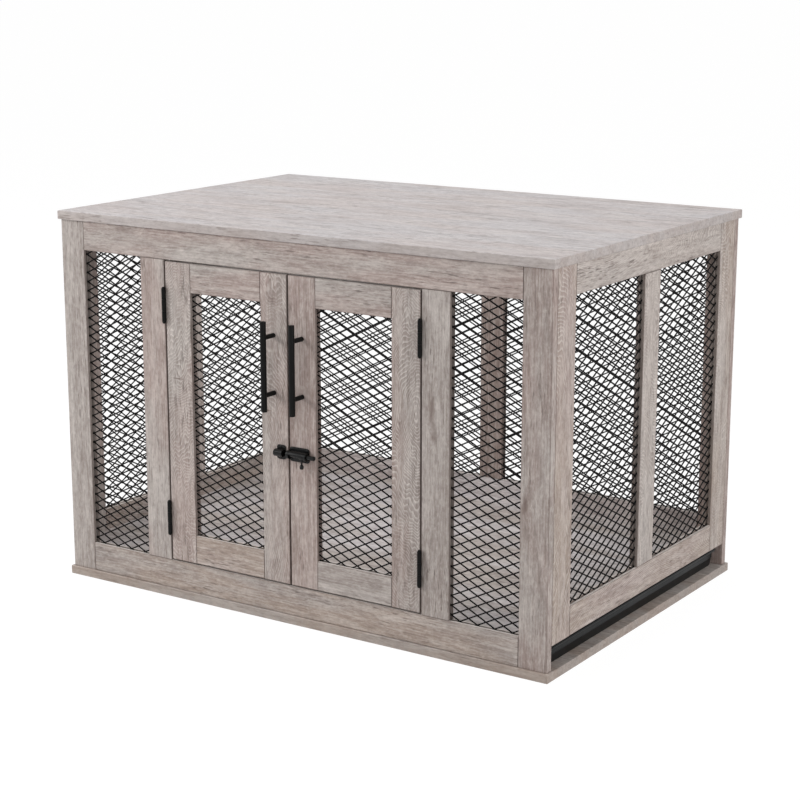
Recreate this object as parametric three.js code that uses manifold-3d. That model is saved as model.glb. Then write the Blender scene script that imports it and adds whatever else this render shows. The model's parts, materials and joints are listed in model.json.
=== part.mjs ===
// Dog crate end table: a cabinet of boards that frame panes of diamond wire mesh, with two hinged
// doors, a floor, and a tray that slides out at the right under the floor.
// Millimetres, +Z up, doors towards -Y. The origin is the middle of the base panel's underside.
import * as THREE from 'three';
import { mergeVertices } from 'three/addons/utils/BufferGeometryUtils.js';
import Module from 'manifold-3d';

const wasm = await Module();
wasm.setup();

// Whole table
const tableWidth = 985;
const tableDepth = 670;
const tableHeight = 660;
const boardThickness = 15;
const ledge = 4; // top and base panels stand past the framed walls
const boardFit = 0.15; // every board is this much short at each edge of its place
const easedEdge = 0.8; // flat broken along each long edge of a board

// Front wall
const postWidth = 51;
const fixedPaneWidth = 127;
const frontStileWidth = 52;
const frontRailHeight = 51;

// Doors
const doorStileWidth = 54;
const doorRailHeight = 50;
const hingeGap = 2.5;
const meetingGap = 3;
const doorEndGap = 2.5; // above and below each door

// Side and back walls
const sideStileWidth = 57;
const sideMullionWidth = 56;
const sideRailHeight = 49;
const slotHeight = 40; // tray slot between the base panel and the right wall
const backMullionWidth = 50;
const backRailHeight = 49;

// Floor and tray
const floorThickness = 12;
const trayHeight = 34;
const trayWall = 2;
const trayRim = 6; // rolled rim stands out this far past the wall
const trayRimDepth = 7;
const trayDraft = 4; // each wall leans out this much from bottom to rim
const trayCorner = 18;
const traySideGap = 1.5; // to the walls in front, behind and at the left
const traySet = 6; // tray's end lies this far inside the right wall's outer face
const trayRest = 0.3;

// Wire mesh
const diamondWidth = 64;
const diamondHeight = 32;
const wireThickness = 2;
const wireLayerGap = 0.4; // between the rising and the falling wires
const meshEdgeWidth = 4; // strip that binds the wire ends, hidden in the groove
const meshEdgeCover = 0.1;
const grooveDepth = 5;
const grooveFloorGap = 0.5;
const grooveSideGap = 0.3;

// Hinges
const hingeLength = 57.5; // without its finials
const hingeInset = 75; // door's end to the middle of the hinge
const knuckleRadius = 3.5;
const endKnuckleLength = 19;
const knuckleGap = 0.3;
const pinRadius = 1.5;
const leafThickness = 0.8;
const leafGap = 0.6; // between the two closed leaves
const leafDepth = 13.5;
const finialHeight = 3;
const finialRadius = 2.6;

// Handles
const handleLength = 150;
const handleRadius = 5;
const handlePostRadius = 4;
const handlePostSpacing = 96;
const handleStandoff = 28; // door face to the middle of the bar
const handleInset = 150; // door's top to the middle of the bar
const handleBevel = 0.8;

// Slide bolt
const latchInset = 296; // door's top to the bolt's axis
const boltRadius = 3.75;
const boltBevel = 1;
const boltStandoff = 8; // door face to the bolt's axis
const boltTipOut = 2; // drawn bolt's tip past the right door's edge
const boltEntry = 10; // thrown bolt's tip past the keeper's near end
const boltTailSet = 0.5; // thrown bolt's tail inside the latch body's end
const boltFit = 0.35;
const latchPlateThickness = 1.5;
const latchPlateHeight = 24.5;
const latchPlateCorner = 4.5;
const latchSetback = 1; // latch body's end from the right door's edge
const latchStrapLength = 5;
const latchWall = 1.4;
const hoodEdgeAngle = 12; // degrees that the hood's front lip stays above the bolt's axis
const keeperLength = 18;
const keeperStapleInset = 0.5; // staple's ends from the keeper plate's ends
const keeperSetback = 4.5; // keeper's end from the left door's edge
const keeperFit = 0.8;
const knobCollarLength = 8;
const knobCollarThickness = 1.1;
const knobEndGap = 4; // collar to the strap when the bolt is thrown
const knobBackGap = 2; // collar to the strap when the bolt is drawn
const knobNeckRadius = 1.7;
const knobRadius = 3.5;
const knobReach = 22; // bolt's axis to the knob's end
const knobLength = 8;
const hardwareFit = 0.2; // metal to the board that it is screwed on

// Places worked out from the sizes
const wallBottom = boardThickness;
const wallTop = tableHeight - boardThickness;
const outerX = tableWidth / 2 - ledge;
const innerX = outerX - boardThickness;
const outerY = tableDepth / 2 - ledge;
const innerY = outerY - boardThickness;
const frontPaneX = outerX - postWidth;
const frontStileX = frontPaneX - fixedPaneWidth;
const bayX = frontStileX - frontStileWidth; // half the bay that the doors fill
const bayBottom = wallBottom + frontRailHeight;
const bayTop = wallTop - frontRailHeight;
const doorBottom = bayBottom + doorEndGap;
const doorTop = bayTop - doorEndGap;
const rightWallBottom = wallBottom + slotHeight;
const sideRailTop = rightWallBottom + sideRailHeight;
const floorTop = bayBottom;
const meshEdgeThickness = 2 * (wireThickness + meshEdgeCover) + wireLayerGap;
const grooveWidth = meshEdgeThickness + 2 * grooveSideGap;
const hingeX = bayX - hingeGap / 2;
const hingeY = -outerY - knuckleRadius - knuckleGap;
const faceY = -outerY;
const boltTravel = meetingGap - boltTipOut + keeperSetback + boltEntry;
const latchWindow = knobEndGap + knobCollarLength + boltTravel + knobBackGap; // between the body's straps
const latchLength = latchWindow + 2 * latchStrapLength;

const oakColor = 0xb3a69d;
const oak = () => new THREE.MeshStandardMaterial({ color: oakColor, roughness: 0.65, metalness: 0 });
const paleOak = () => new THREE.MeshStandardMaterial({ color: 0xcbc5bd, roughness: 0.6, metalness: 0 });
const blackWire = () => new THREE.MeshStandardMaterial({ color: 0x141313, roughness: 0.5, metalness: 0.5 });
const blackSteel = () => new THREE.MeshStandardMaterial({ color: 0x1a1918, roughness: 0.4, metalness: 0.6 });
const blackPlastic = () => new THREE.MeshStandardMaterial({ color: 0x191b1c, roughness: 0.45, metalness: 0 });

const table = new THREE.Group();
const xIntoY = new THREE.Matrix4().makeBasis(
  new THREE.Vector3(0, 1, 0),
  new THREE.Vector3(0, 0, 1),
  new THREE.Vector3(1, 0, 0),
);

// Turns a closed geometry into a solid that can be joined and cut.
function solid(geometry) {
  const shell = geometry.clone();
  shell.deleteAttribute('normal');
  shell.deleteAttribute('uv');
  const merged = mergeVertices(shell, 1e-4);
  return new wasm.Manifold(new wasm.Mesh({
    numProp: 3,
    vertProperties: new Float32Array(merged.attributes.position.array),
    triVerts: new Uint32Array(merged.index.array),
  }));
}

function geometryOf(body) {
  const mesh = body.getMesh();
  const geometry = new THREE.BufferGeometry();
  geometry.setAttribute('position', new THREE.BufferAttribute(mesh.vertProperties, 3));
  geometry.setIndex(new THREE.BufferAttribute(mesh.triVerts, 1));
  geometry.computeVertexNormals();
  return geometry;
}

const joined = (bodies) => bodies.reduce((whole, body) => whole.add(body));

// Adds a mesh whose geometry starts at the given point of the table.
function place(group, name, geometry, material, point = [0, 0, 0]) {
  const mesh = new THREE.Mesh(geometry, material);
  mesh.name = name;
  mesh.position.set(...point).sub(group.position);
  group.add(mesh);
  return mesh;
}

function box(lengthX, lengthY, lengthZ, middle = [0, 0, 0]) {
  return new THREE.BoxGeometry(lengthX, lengthY, lengthZ).translate(...middle);
}

// --- Framed walls ---
// A wall runs along x or y. A span is a rectangle in it: from and to along the wall, bottom and top.
const walls = {
  front: { along: 'x', middle: faceY + boardThickness / 2 },
  back: { along: 'x', middle: outerY - boardThickness / 2 },
  left: { along: 'y', middle: -outerX + boardThickness / 2 },
  right: { along: 'y', middle: outerX - boardThickness / 2 },
};

function intoWall(geometry, wall, span) {
  const along = (span.from + span.to) / 2;
  const height = (span.bottom + span.top) / 2;
  if (wall.along === 'x') return geometry.translate(along, wall.middle, height);
  return geometry.rotateZ(Math.PI / 2).translate(wall.middle, along, height);
}

function easedSection(width, thickness) {
  const x = width / 2;
  const y = thickness / 2;
  const shape = new THREE.Shape();
  shape.moveTo(-x + easedEdge, -y);
  shape.lineTo(x - easedEdge, -y);
  shape.lineTo(x, -y + easedEdge);
  shape.lineTo(x, y - easedEdge);
  shape.lineTo(x - easedEdge, y);
  shape.lineTo(-x + easedEdge, y);
  shape.lineTo(-x, y - easedEdge);
  shape.lineTo(-x, -y + easedEdge);
  shape.closePath();
  return shape;
}

// A board in a wall, its length upright or lying, grooved by the panes that it holds.
function boardIn(wall, span, upright, panes) {
  const width = span.to - span.from - 2 * boardFit;
  const height = span.top - span.bottom - 2 * boardFit;
  const length = upright ? height : width;
  const section = easedSection(upright ? width : height, boardThickness);
  const geometry = new THREE.ExtrudeGeometry(section, { depth: length, bevelEnabled: false });
  geometry.translate(0, 0, -length / 2);
  if (!upright) geometry.rotateY(Math.PI / 2);
  let body = solid(intoWall(geometry, wall, span));
  for (const pane of panes) {
    body = body.subtract(solid(grooveOf(wall, pane)));
  }
  return geometryOf(body);
}

// The groove round a pane, as one slab that every board beside the pane is cut by.
function grooveOf(wall, pane) {
  const width = pane.to - pane.from + 2 * grooveDepth;
  const height = pane.top - pane.bottom + 2 * grooveDepth;
  return intoWall(box(width, grooveWidth, height), wall, pane);
}

// Where a wire that crosses the pane's middle line at offset starts and ends.
function wireSpan(slope, offset, reachX, reachZ) {
  const ends = [(-reachZ - offset) / slope, (reachZ - offset) / slope].sort((a, b) => a - b);
  return [Math.max(-reachX, ends[0]), Math.min(reachX, ends[1])];
}

// Rising wires in front and falling wires behind, all bound by an edge strip in the groove.
function meshIn(wall, pane) {
  const reach = grooveDepth - grooveFloorGap;
  const width = pane.to - pane.from + 2 * reach;
  const height = pane.top - pane.bottom + 2 * reach;
  const hole = box(width - 2 * meshEdgeWidth, 2 * meshEdgeThickness, height - 2 * meshEdgeWidth);
  const parts = [solid(box(width, meshEdgeThickness, height)).subtract(solid(hole))];
  const reachX = (width - meshEdgeWidth) / 2;
  const reachZ = (height - meshEdgeWidth) / 2;
  const steepness = diamondHeight / diamondWidth;
  const count = Math.ceil((reachZ + steepness * reachX) / diamondHeight);
  for (const side of [-1, 1]) {
    const slope = -side * steepness;
    for (let n = -count; n <= count; n += 1) {
      const offset = n * diamondHeight;
      const [start, end] = wireSpan(slope, offset, reachX, reachZ);
      const length = (end - start) * Math.hypot(1, slope);
      if (length < 2 * meshEdgeWidth) continue;
      const wire = box(length, wireThickness, wireThickness).rotateY(-Math.atan(slope));
      const middle = (start + end) / 2;
      wire.translate(middle, side * (wireThickness + wireLayerGap) / 2, slope * middle + offset);
      parts.push(solid(wire));
    }
  }
  return intoWall(geometryOf(joined(parts)), wall, pane);
}

// Boards and panes of one wall or door, each a node of its own.
function framing(group, wall, boards, panes) {
  for (const [name, { upright, ...span }] of Object.entries(boards)) {
    const touching = Object.values(panes).filter((pane) => (
      pane.from - grooveDepth < span.to && pane.to + grooveDepth > span.from
      && pane.bottom - grooveDepth < span.top && pane.top + grooveDepth > span.bottom
    ));
    place(group, name, boardIn(wall, span, upright, touching), oak());
  }
  for (const [name, pane] of Object.entries(panes)) {
    place(group, name, meshIn(wall, pane), blackWire());
  }
}

// The same rectangle at the left (-1) or the right (1) of a wall's middle.
function onSide(side, inner, outer, bottom, top) {
  const ends = [side * inner, side * outer].sort((a, b) => a - b);
  return { from: ends[0], to: ends[1], bottom, top };
}

const sides = { left: -1, right: 1 };

function frontWall() {
  const boards = {
    front_top_rail: { from: -frontPaneX, to: frontPaneX, bottom: bayTop, top: wallTop },
    front_bottom_rail: { from: -frontPaneX, to: frontPaneX, bottom: wallBottom, top: bayBottom },
  };
  const panes = {};
  for (const [name, side] of Object.entries(sides)) {
    boards[`front_${name}_post`] = { upright: true, ...onSide(side, frontPaneX, outerX, wallBottom, wallTop) };
    boards[`front_${name}_stile`] = { upright: true, ...onSide(side, bayX, frontStileX, bayBottom, bayTop) };
    panes[`front_${name}_mesh`] = onSide(side, frontStileX, frontPaneX, bayBottom, bayTop);
  }
  framing(table, walls.front, boards, panes);
}

function backWall() {
  const postX = outerX - postWidth;
  const mullionX = backMullionWidth / 2;
  const paneTop = wallTop - backRailHeight;
  const boards = {
    back_top_rail: { from: -postX, to: postX, bottom: paneTop, top: wallTop },
    back_bottom_rail: { from: -postX, to: postX, bottom: wallBottom, top: sideRailTop },
    back_mullion: { upright: true, from: -mullionX, to: mullionX, bottom: sideRailTop, top: paneTop },
  };
  const panes = {};
  for (const [name, side] of Object.entries(sides)) {
    boards[`back_${name}_post`] = { upright: true, ...onSide(side, postX, outerX, wallBottom, wallTop) };
    panes[`back_${name}_mesh`] = onSide(side, mullionX, postX, sideRailTop, paneTop);
  }
  framing(table, walls.back, boards, panes);
}

// The right wall stands clear of the base panel by the tray slot. The left one closes that space.
function sideWall(name, bottom) {
  const stileY = innerY - sideStileWidth;
  const mullionY = sideMullionWidth / 2;
  const paneTop = wallTop - sideRailHeight;
  const boards = {
    [`${name}_top_rail`]: { from: -stileY, to: stileY, bottom: paneTop, top: wallTop },
    [`${name}_bottom_rail`]: { from: -stileY, to: stileY, bottom, top: sideRailTop },
    [`${name}_middle_stile`]: {
      upright: true, from: -mullionY, to: mullionY, bottom: sideRailTop, top: paneTop,
    },
  };
  const panes = {};
  for (const [end, side] of Object.entries({ front: -1, rear: 1 })) {
    boards[`${name}_${end}_stile`] = { upright: true, ...onSide(side, stileY, innerY, bottom, wallTop) };
    panes[`${name}_${end}_mesh`] = onSide(side, mullionY, stileY, sideRailTop, paneTop);
  }
  framing(table, walls[name], boards, panes);
}

// --- Top, base and floor panels ---
function panel(width, depth, thickness) {
  const x = width / 2 - easedEdge;
  const y = depth / 2 - easedEdge;
  const outline = new THREE.Shape();
  outline.moveTo(-x, -y);
  outline.lineTo(x, -y);
  outline.lineTo(x, y);
  outline.lineTo(-x, y);
  outline.closePath();
  return new THREE.ExtrudeGeometry(outline, {
    depth: thickness - 2 * easedEdge,
    bevelThickness: easedEdge,
    bevelSize: easedEdge,
    bevelSegments: 1,
  }).translate(0, 0, easedEdge);
}

function panels() {
  const slab = panel(tableWidth, tableDepth, boardThickness);
  place(table, 'base_panel', slab, oak());
  place(table, 'top_panel', slab.clone(), paleOak(), [0, 0, wallTop]);
  const floorWidth = 2 * (innerX - boardFit);
  const floorDepth = 2 * (innerY - boardFit);
  const floorBoard = panel(floorWidth, floorDepth, floorThickness);
  place(table, 'floor_panel', floorBoard, oak(), [0, 0, floorTop - floorThickness]);
}

// --- Tray ---
// A ring of points round a rounded rectangle that is drawn in by inset.
function trayRing(halfX, halfY, inset, height) {
  const cornerSteps = 4;
  const radius = Math.max(trayCorner - inset, trayWall);
  const x = halfX - inset - radius;
  const y = halfY - inset - radius;
  const centres = [[x, y], [-x, y], [-x, -y], [x, -y]];
  const points = [];
  centres.forEach(([centreX, centreY], quarter) => {
    for (let step = 0; step <= cornerSteps; step += 1) {
      const angle = (quarter + step / cornerSteps) * Math.PI / 2;
      points.push([centreX + radius * Math.cos(angle), centreY + radius * Math.sin(angle), height]);
    }
  });
  return points;
}

// Rings joined one to the next, closed by a flat over the first and the last.
function throughRings(rings) {
  const perRing = rings[0].length;
  const positions = rings.flat(2);
  const index = [];
  for (let ring = 0; ring + 1 < rings.length; ring += 1) {
    for (let step = 0; step < perRing; step += 1) {
      const a = ring * perRing + step;
      const b = ring * perRing + (step + 1) % perRing;
      index.push(a, b, b + perRing, a, b + perRing, a + perRing);
    }
  }
  const last = (rings.length - 1) * perRing;
  for (let step = 1; step + 1 < perRing; step += 1) {
    index.push(0, step + 1, step, last, last + step, last + step + 1);
  }
  const geometry = new THREE.BufferGeometry();
  geometry.setAttribute('position', new THREE.Float32BufferAttribute(positions, 3));
  geometry.setIndex(index);
  geometry.computeVertexNormals();
  return geometry;
}

function tray() {
  const left = -innerX + traySideGap;
  const right = outerX - traySet;
  const halfX = (right - left) / 2;
  const halfY = innerY - traySideGap;
  const rimEase = trayRim / 4;
  const profile = [
    [trayRim + trayDraft, 0],
    [trayRim, trayHeight - trayRimDepth],
    [rimEase, trayHeight - trayRimDepth],
    [0, trayHeight - trayRimDepth + rimEase],
    [0, trayHeight - rimEase],
    [rimEase, trayHeight],
    [trayRim + trayWall - rimEase, trayHeight],
    [trayRim + trayWall, trayHeight - rimEase],
    [trayRim + trayDraft + trayWall, trayWall],
  ];
  const rings = profile.map(([inset, height]) => trayRing(halfX, halfY, inset, height));
  const point = [(left + right) / 2, 0, boardThickness + trayRest];
  place(table, 'tray', throughRings(rings), blackPlastic(), point);
}

// --- Hinges ---
// Revolves a profile of [radius, height] about the upright axis.
function turned(profile, segments) {
  const points = profile.map(([radius, height]) => new THREE.Vector2(radius, height));
  return new THREE.LatheGeometry(points, segments).rotateX(Math.PI / 2);
}

const middleKnuckleHalf = hingeLength / 2 - endKnuckleLength;
const leafInner = leafGap / 2;
const leafStart = knuckleRadius + knuckleGap;
const tabStart = (pinRadius + knuckleGap + knuckleRadius) / 2;

// One leaf lies at side -1 or 1 of the pin, with tabs that reach its knuckles.
function leafPlates(side, tabs) {
  const x = side * (leafInner + leafThickness / 2);
  const plate = box(leafThickness, leafDepth, hingeLength, [x, leafStart + leafDepth / 2, 0]);
  const tabDepth = leafStart + leafThickness - tabStart;
  const parts = tabs.map(([low, high]) => (
    box(leafThickness, tabDepth, high - low, [x, tabStart + tabDepth / 2, (low + high) / 2])
  ));
  return [plate, ...parts].map(solid);
}

// The frame's leaf carries both end knuckles, and the pin with its two rounded finials.
function frameLeaf() {
  const end = hingeLength / 2;
  const finial = [
    [0, end + finialHeight],
    [finialRadius * 0.7, end + finialHeight * 0.8],
    [finialRadius, end + finialHeight * 0.45],
    [finialRadius * 0.8, end],
  ];
  const upper = [...finial, [knuckleRadius, end], [knuckleRadius, middleKnuckleHalf], [pinRadius, middleKnuckleHalf]];
  const lower = upper.map(([radius, height]) => [radius, -height]).reverse();
  const pin = turned([...upper, ...lower].reverse(), 12);
  const tabs = [[-end, -middleKnuckleHalf], [middleKnuckleHalf, end]];
  return geometryOf(joined([solid(pin), ...leafPlates(-1, tabs)]));
}

// The door's leaf carries the middle knuckle, bored for the pin.
function doorLeaf() {
  const half = middleKnuckleHalf - knuckleGap;
  const bore = pinRadius + knuckleGap;
  const knuckle = turned([
    [bore, -half], [knuckleRadius, -half], [knuckleRadius, half], [bore, half], [bore, -half],
  ], 12);
  return geometryOf(joined([solid(knuckle), ...leafPlates(1, [[-half, half]])]));
}

function hinges(doors) {
  const frameGeometry = frameLeaf();
  const doorGeometry = doorLeaf();
  const heights = { lower: doorBottom + hingeInset, upper: doorTop - hingeInset };
  for (const [name, side] of Object.entries(sides)) {
    for (const [level, height] of Object.entries(heights)) {
      const stem = `${name}_${level}_hinge`;
      const point = [side * hingeX, hingeY, height];
      const onFrame = place(table, `${stem}_frame_leaf`, frameGeometry, blackSteel(), point);
      const onDoor = place(doors[name], `${stem}_door_leaf`, doorGeometry, blackSteel(), point);
      onFrame.rotation.y = side > 0 ? Math.PI : 0;
      onDoor.rotation.y = onFrame.rotation.y;
    }
  }
}

// --- Doors ---
function door(name, side) {
  const group = new THREE.Group();
  group.position.set(side * hingeX, hingeY, 0);
  table.add(group);
  const outer = bayX - hingeGap;
  const inner = meetingGap / 2;
  const paneOuter = outer - doorStileWidth;
  const paneInner = inner + doorStileWidth;
  const paneBottom = doorBottom + doorRailHeight;
  const paneTop = doorTop - doorRailHeight;
  const boards = {
    [`${name}_door_hinge_stile`]: { upright: true, ...onSide(side, paneOuter, outer, doorBottom, doorTop) },
    [`${name}_door_meeting_stile`]: { upright: true, ...onSide(side, inner, paneInner, doorBottom, doorTop) },
    [`${name}_door_bottom_rail`]: onSide(side, paneInner, paneOuter, doorBottom, paneBottom),
    [`${name}_door_top_rail`]: onSide(side, paneInner, paneOuter, paneTop, doorTop),
  };
  const panes = { [`${name}_door_mesh`]: onSide(side, paneInner, paneOuter, paneBottom, paneTop) };
  framing(group, walls.front, boards, panes);
  const handlePoint = [side * (inner + doorStileWidth / 2), faceY - hardwareFit, doorTop - handleInset];
  place(group, `${name}_handle`, handle(), blackSteel(), handlePoint);
  return group;
}

// A round bar on two round posts.
function handle() {
  const half = handleLength / 2;
  const bar = turned([
    [0, -half], [handleRadius - handleBevel, -half], [handleRadius, -half + handleBevel],
    [handleRadius, half - handleBevel], [handleRadius - handleBevel, half], [0, half],
  ], 16).translate(0, -handleStandoff, 0);
  const posts = [-1, 1].map((end) => (
    new THREE.CylinderGeometry(handlePostRadius, handlePostRadius, handleStandoff, 12)
      .translate(0, -handleStandoff / 2, end * handlePostSpacing / 2)
  ));
  return geometryOf(joined([bar, ...posts].map(solid)));
}

// --- Slide bolt ---
// Its geometry has the bolt's axis along x through the origin, and the door's face behind, at +y.
const plateFront = boltStandoff - hardwareFit - latchPlateThickness;
const strapBore = boltRadius + boltFit;
const hoodBore = strapBore + knobCollarThickness + boltFit;
const hoodRadius = hoodBore + latchWall;

function alongX(shape, start, length) {
  const geometry = new THREE.ExtrudeGeometry(shape, { depth: length, bevelEnabled: false, curveSegments: 8 });
  return geometry.applyMatrix4(xIntoY).translate(start, 0, 0);
}

// A strap that arches over the bolt and lands on the plate.
function strap(start, length) {
  const foot = plateFront + latchPlateThickness / 2;
  const shape = new THREE.Shape();
  shape.moveTo(foot, hoodRadius);
  shape.lineTo(0, hoodRadius);
  shape.absarc(0, 0, hoodRadius, Math.PI / 2, Math.PI * 3 / 2, false);
  shape.lineTo(foot, -hoodRadius);
  shape.closePath();
  shape.holes.push(new THREE.Path().absarc(0, 0, strapBore, 0, 2 * Math.PI, true));
  return alongX(shape, start, length);
}

// A staple with straight legs that arches over the thrown bolt.
function staple(start, length) {
  const foot = plateFront + latchPlateThickness / 2;
  const inner = boltRadius + keeperFit;
  const outer = inner + latchWall;
  const shape = new THREE.Shape();
  shape.moveTo(foot, outer);
  shape.lineTo(0, outer);
  shape.absarc(0, 0, outer, Math.PI / 2, Math.PI * 3 / 2, false);
  shape.lineTo(foot, -outer);
  shape.lineTo(foot, -inner);
  shape.lineTo(0, -inner);
  shape.absarc(0, 0, inner, Math.PI * 3 / 2, Math.PI / 2, true);
  shape.lineTo(foot, inner);
  shape.closePath();
  return alongX(shape, start, length);
}

// The hood over the window between the straps leaves the lower half open for the knob.
function hood(start, length) {
  const foot = plateFront + latchPlateThickness / 2;
  const lip = Math.PI - THREE.MathUtils.degToRad(hoodEdgeAngle);
  const shape = new THREE.Shape();
  shape.moveTo(foot, hoodRadius);
  shape.lineTo(0, hoodRadius);
  shape.absarc(0, 0, hoodRadius, Math.PI / 2, lip, false);
  shape.absarc(0, 0, hoodBore, lip, Math.PI / 2, true);
  shape.lineTo(foot, hoodBore);
  shape.closePath();
  return alongX(shape, start, length);
}

// A plate with rounded ends away from its straight edge.
function plate(start, length) {
  const half = latchPlateHeight / 2;
  const corner = latchPlateCorner;
  const shape = new THREE.Shape();
  shape.moveTo(start + corner, -half);
  shape.lineTo(start + length - corner, -half);
  shape.absarc(start + length - corner, -half + corner, corner, -Math.PI / 2, 0, false);
  shape.absarc(start + length - corner, half - corner, corner, 0, Math.PI / 2, false);
  shape.absarc(start + corner, half - corner, corner, Math.PI / 2, Math.PI, false);
  shape.absarc(start + corner, -half + corner, corner, Math.PI, Math.PI * 3 / 2, false);
  const geometry = new THREE.ExtrudeGeometry(shape, {
    depth: latchPlateThickness, bevelEnabled: false, curveSegments: 3,
  });
  return geometry.rotateX(Math.PI / 2).translate(0, plateFront + latchPlateThickness, 0);
}

function latch(doors) {
  const point = [0, faceY - boltStandoff, doorTop - latchInset];
  const bodyStart = meetingGap / 2 + latchSetback;
  const windowStart = bodyStart + latchStrapLength;
  const windowEnd = windowStart + latchWindow;
  const body = joined([
    plate(bodyStart, latchLength),
    strap(bodyStart, latchStrapLength),
    strap(windowEnd, latchStrapLength),
    hood(windowStart - latchWall, latchWindow + 2 * latchWall),
  ].map(solid));
  place(doors.right, 'latch_body', geometryOf(body), blackSteel(), point);

  const keeperEnd = -meetingGap / 2 - keeperSetback;
  const keeper = joined([
    plate(keeperEnd - keeperLength, keeperLength),
    staple(keeperEnd - keeperLength + keeperStapleInset, keeperLength - 2 * keeperStapleInset),
  ].map(solid));
  place(doors.left, 'latch_keeper', geometryOf(keeper), blackSteel(), point);

  const boltStart = meetingGap / 2 - boltTipOut;
  const boltLength = bodyStart + latchLength - boltTailSet + boltTravel - boltStart;
  const bolt = turned([
    [0, 0], [boltRadius - boltBevel, 0], [boltRadius, boltBevel],
    [boltRadius, boltLength - boltBevel], [boltRadius - boltBevel, boltLength], [0, boltLength],
  ], 16).rotateY(Math.PI / 2).translate(boltStart, 0, 0);
  place(doors.right, 'latch_bolt', bolt, blackSteel(), point);
  const knobPlace = windowStart + knobEndGap + knobCollarLength / 2 + boltTravel;
  place(doors.right, 'latch_knob', knob(knobPlace), blackSteel(), point);
}

// A collar round the bolt, with a neck and a round knob that hang from it.
function knob(middle) {
  const collarRadius = strapBore + knobCollarThickness;
  const half = knobCollarLength / 2;
  const collar = turned([
    [strapBore, -half], [collarRadius, -half], [collarRadius, half], [strapBore, half], [strapBore, -half],
  ], 16).rotateY(Math.PI / 2);
  const neckTop = -(strapBore + collarRadius) / 2;
  const neckBottom = -knobReach + knobLength / 2;
  const neck = new THREE.CylinderGeometry(knobNeckRadius, knobNeckRadius, neckTop - neckBottom, 10)
    .rotateX(Math.PI / 2).translate(0, 0, (neckTop + neckBottom) / 2);
  const round = knobRadius * 0.75;
  const ball = turned([
    [0, -knobReach], [round, -knobReach], [knobRadius, -knobReach + knobRadius - round],
    [knobRadius, -knobReach + knobLength - 1], [round, -knobReach + knobLength], [0, -knobReach + knobLength],
  ], 12);
  return geometryOf(joined([collar, neck, ball].map(solid))).translate(middle, 0, 0);
}

frontWall();
backWall();
sideWall('left', wallBottom);
sideWall('right', rightWallBottom);
panels();
tray();
const doors = { left: door('left', sides.left), right: door('right', sides.right) };
hinges(doors);
latch(doors);

export default table;
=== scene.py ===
# Dog crate end table: finishes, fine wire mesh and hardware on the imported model, with its studio.
import json
import math

import bmesh
import bpy
import numpy as np
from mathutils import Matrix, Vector


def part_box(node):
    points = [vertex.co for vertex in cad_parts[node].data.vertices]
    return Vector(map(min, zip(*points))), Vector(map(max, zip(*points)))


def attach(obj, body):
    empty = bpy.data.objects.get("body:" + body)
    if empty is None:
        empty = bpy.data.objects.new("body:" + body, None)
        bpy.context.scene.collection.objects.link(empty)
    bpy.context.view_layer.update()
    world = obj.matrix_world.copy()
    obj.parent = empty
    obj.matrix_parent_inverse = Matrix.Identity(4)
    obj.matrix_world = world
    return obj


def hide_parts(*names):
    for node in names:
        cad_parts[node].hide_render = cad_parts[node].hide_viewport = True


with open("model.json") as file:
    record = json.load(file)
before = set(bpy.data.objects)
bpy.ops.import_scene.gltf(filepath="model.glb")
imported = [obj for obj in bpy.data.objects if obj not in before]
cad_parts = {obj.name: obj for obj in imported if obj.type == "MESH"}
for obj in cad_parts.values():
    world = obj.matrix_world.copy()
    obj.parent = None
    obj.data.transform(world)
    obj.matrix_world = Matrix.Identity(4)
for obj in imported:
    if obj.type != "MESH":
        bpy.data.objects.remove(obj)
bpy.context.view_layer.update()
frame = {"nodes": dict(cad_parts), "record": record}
bodyOf = {node: body for body, members in frame["record"]["behaviour"]["bodies"].items() for node in members}
print("frame:", len(frame["nodes"]), "nodes")


# --- Nodes ---
class Nodes:
    def __init__(self, owner):
        owner.use_nodes = True
        self.tree = owner.node_tree

    def add(self, kind, inputs=(), **settings):
        node = self.tree.nodes.new("ShaderNode" + kind)
        for name, value in settings.items():
            setattr(node, name, value)
        for socket, value in dict(inputs).items():
            self.join(value, node.inputs[socket])
        return node

    def join(self, value, socket):
        if isinstance(value, bpy.types.NodeSocket):
            self.tree.links.new(value, socket)
        else:
            socket.default_value = value

    def math(self, operation, *values):
        return self.add("Math", dict(enumerate(values)), operation=operation).outputs[0]

    def times(self, first, *others):
        for other in others:
            first = self.math("MULTIPLY", first, other)
        return first

    def blend(self, share, first, second):
        return self.add("Mix", {0: share, 6: first, 7: second}, data_type="RGBA").outputs[2]

    def ramp(self, value, low, high, bottom=0.0, top=1.0):
        inputs = {0: value, 1: low, 2: high, 3: bottom, 4: top}
        return self.add("MapRange", inputs, clamp=True).outputs[0]

    def noise(self, vector, seed, detail=2.0, rough=0.5):
        inputs = {"Vector": vector, "W": seed, "Scale": 1.0, "Detail": detail, "Roughness": rough}
        return self.add("TexNoise", inputs, noise_dimensions="4D").outputs[0]

    def stretch(self, vector, scale):
        return self.add("VectorMath", {0: vector, 1: scale}, operation="MULTIPLY").outputs[0]

    def length(self, vector):
        return self.add("VectorMath", {0: vector}, operation="LENGTH").outputs["Value"]

    # 1 for rays that show the background: straight to the camera, or by way of gloss or glass.
    def seenRays(self):
        path = self.add("LightPath").outputs
        straight = self.math("MAXIMUM", path["Is Camera Ray"], path["Is Glossy Ray"])
        return self.math("MAXIMUM", straight, path["Is Transmission Ray"])

    # Ends a material or world with two shaders, of which the second takes the share given.
    def mixOut(self, kind, share, first, second):
        mix = self.add("MixShader", {0: share, 1: first, 2: second})
        self.add("Output" + kind, {0: mix.outputs[0]})


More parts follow.
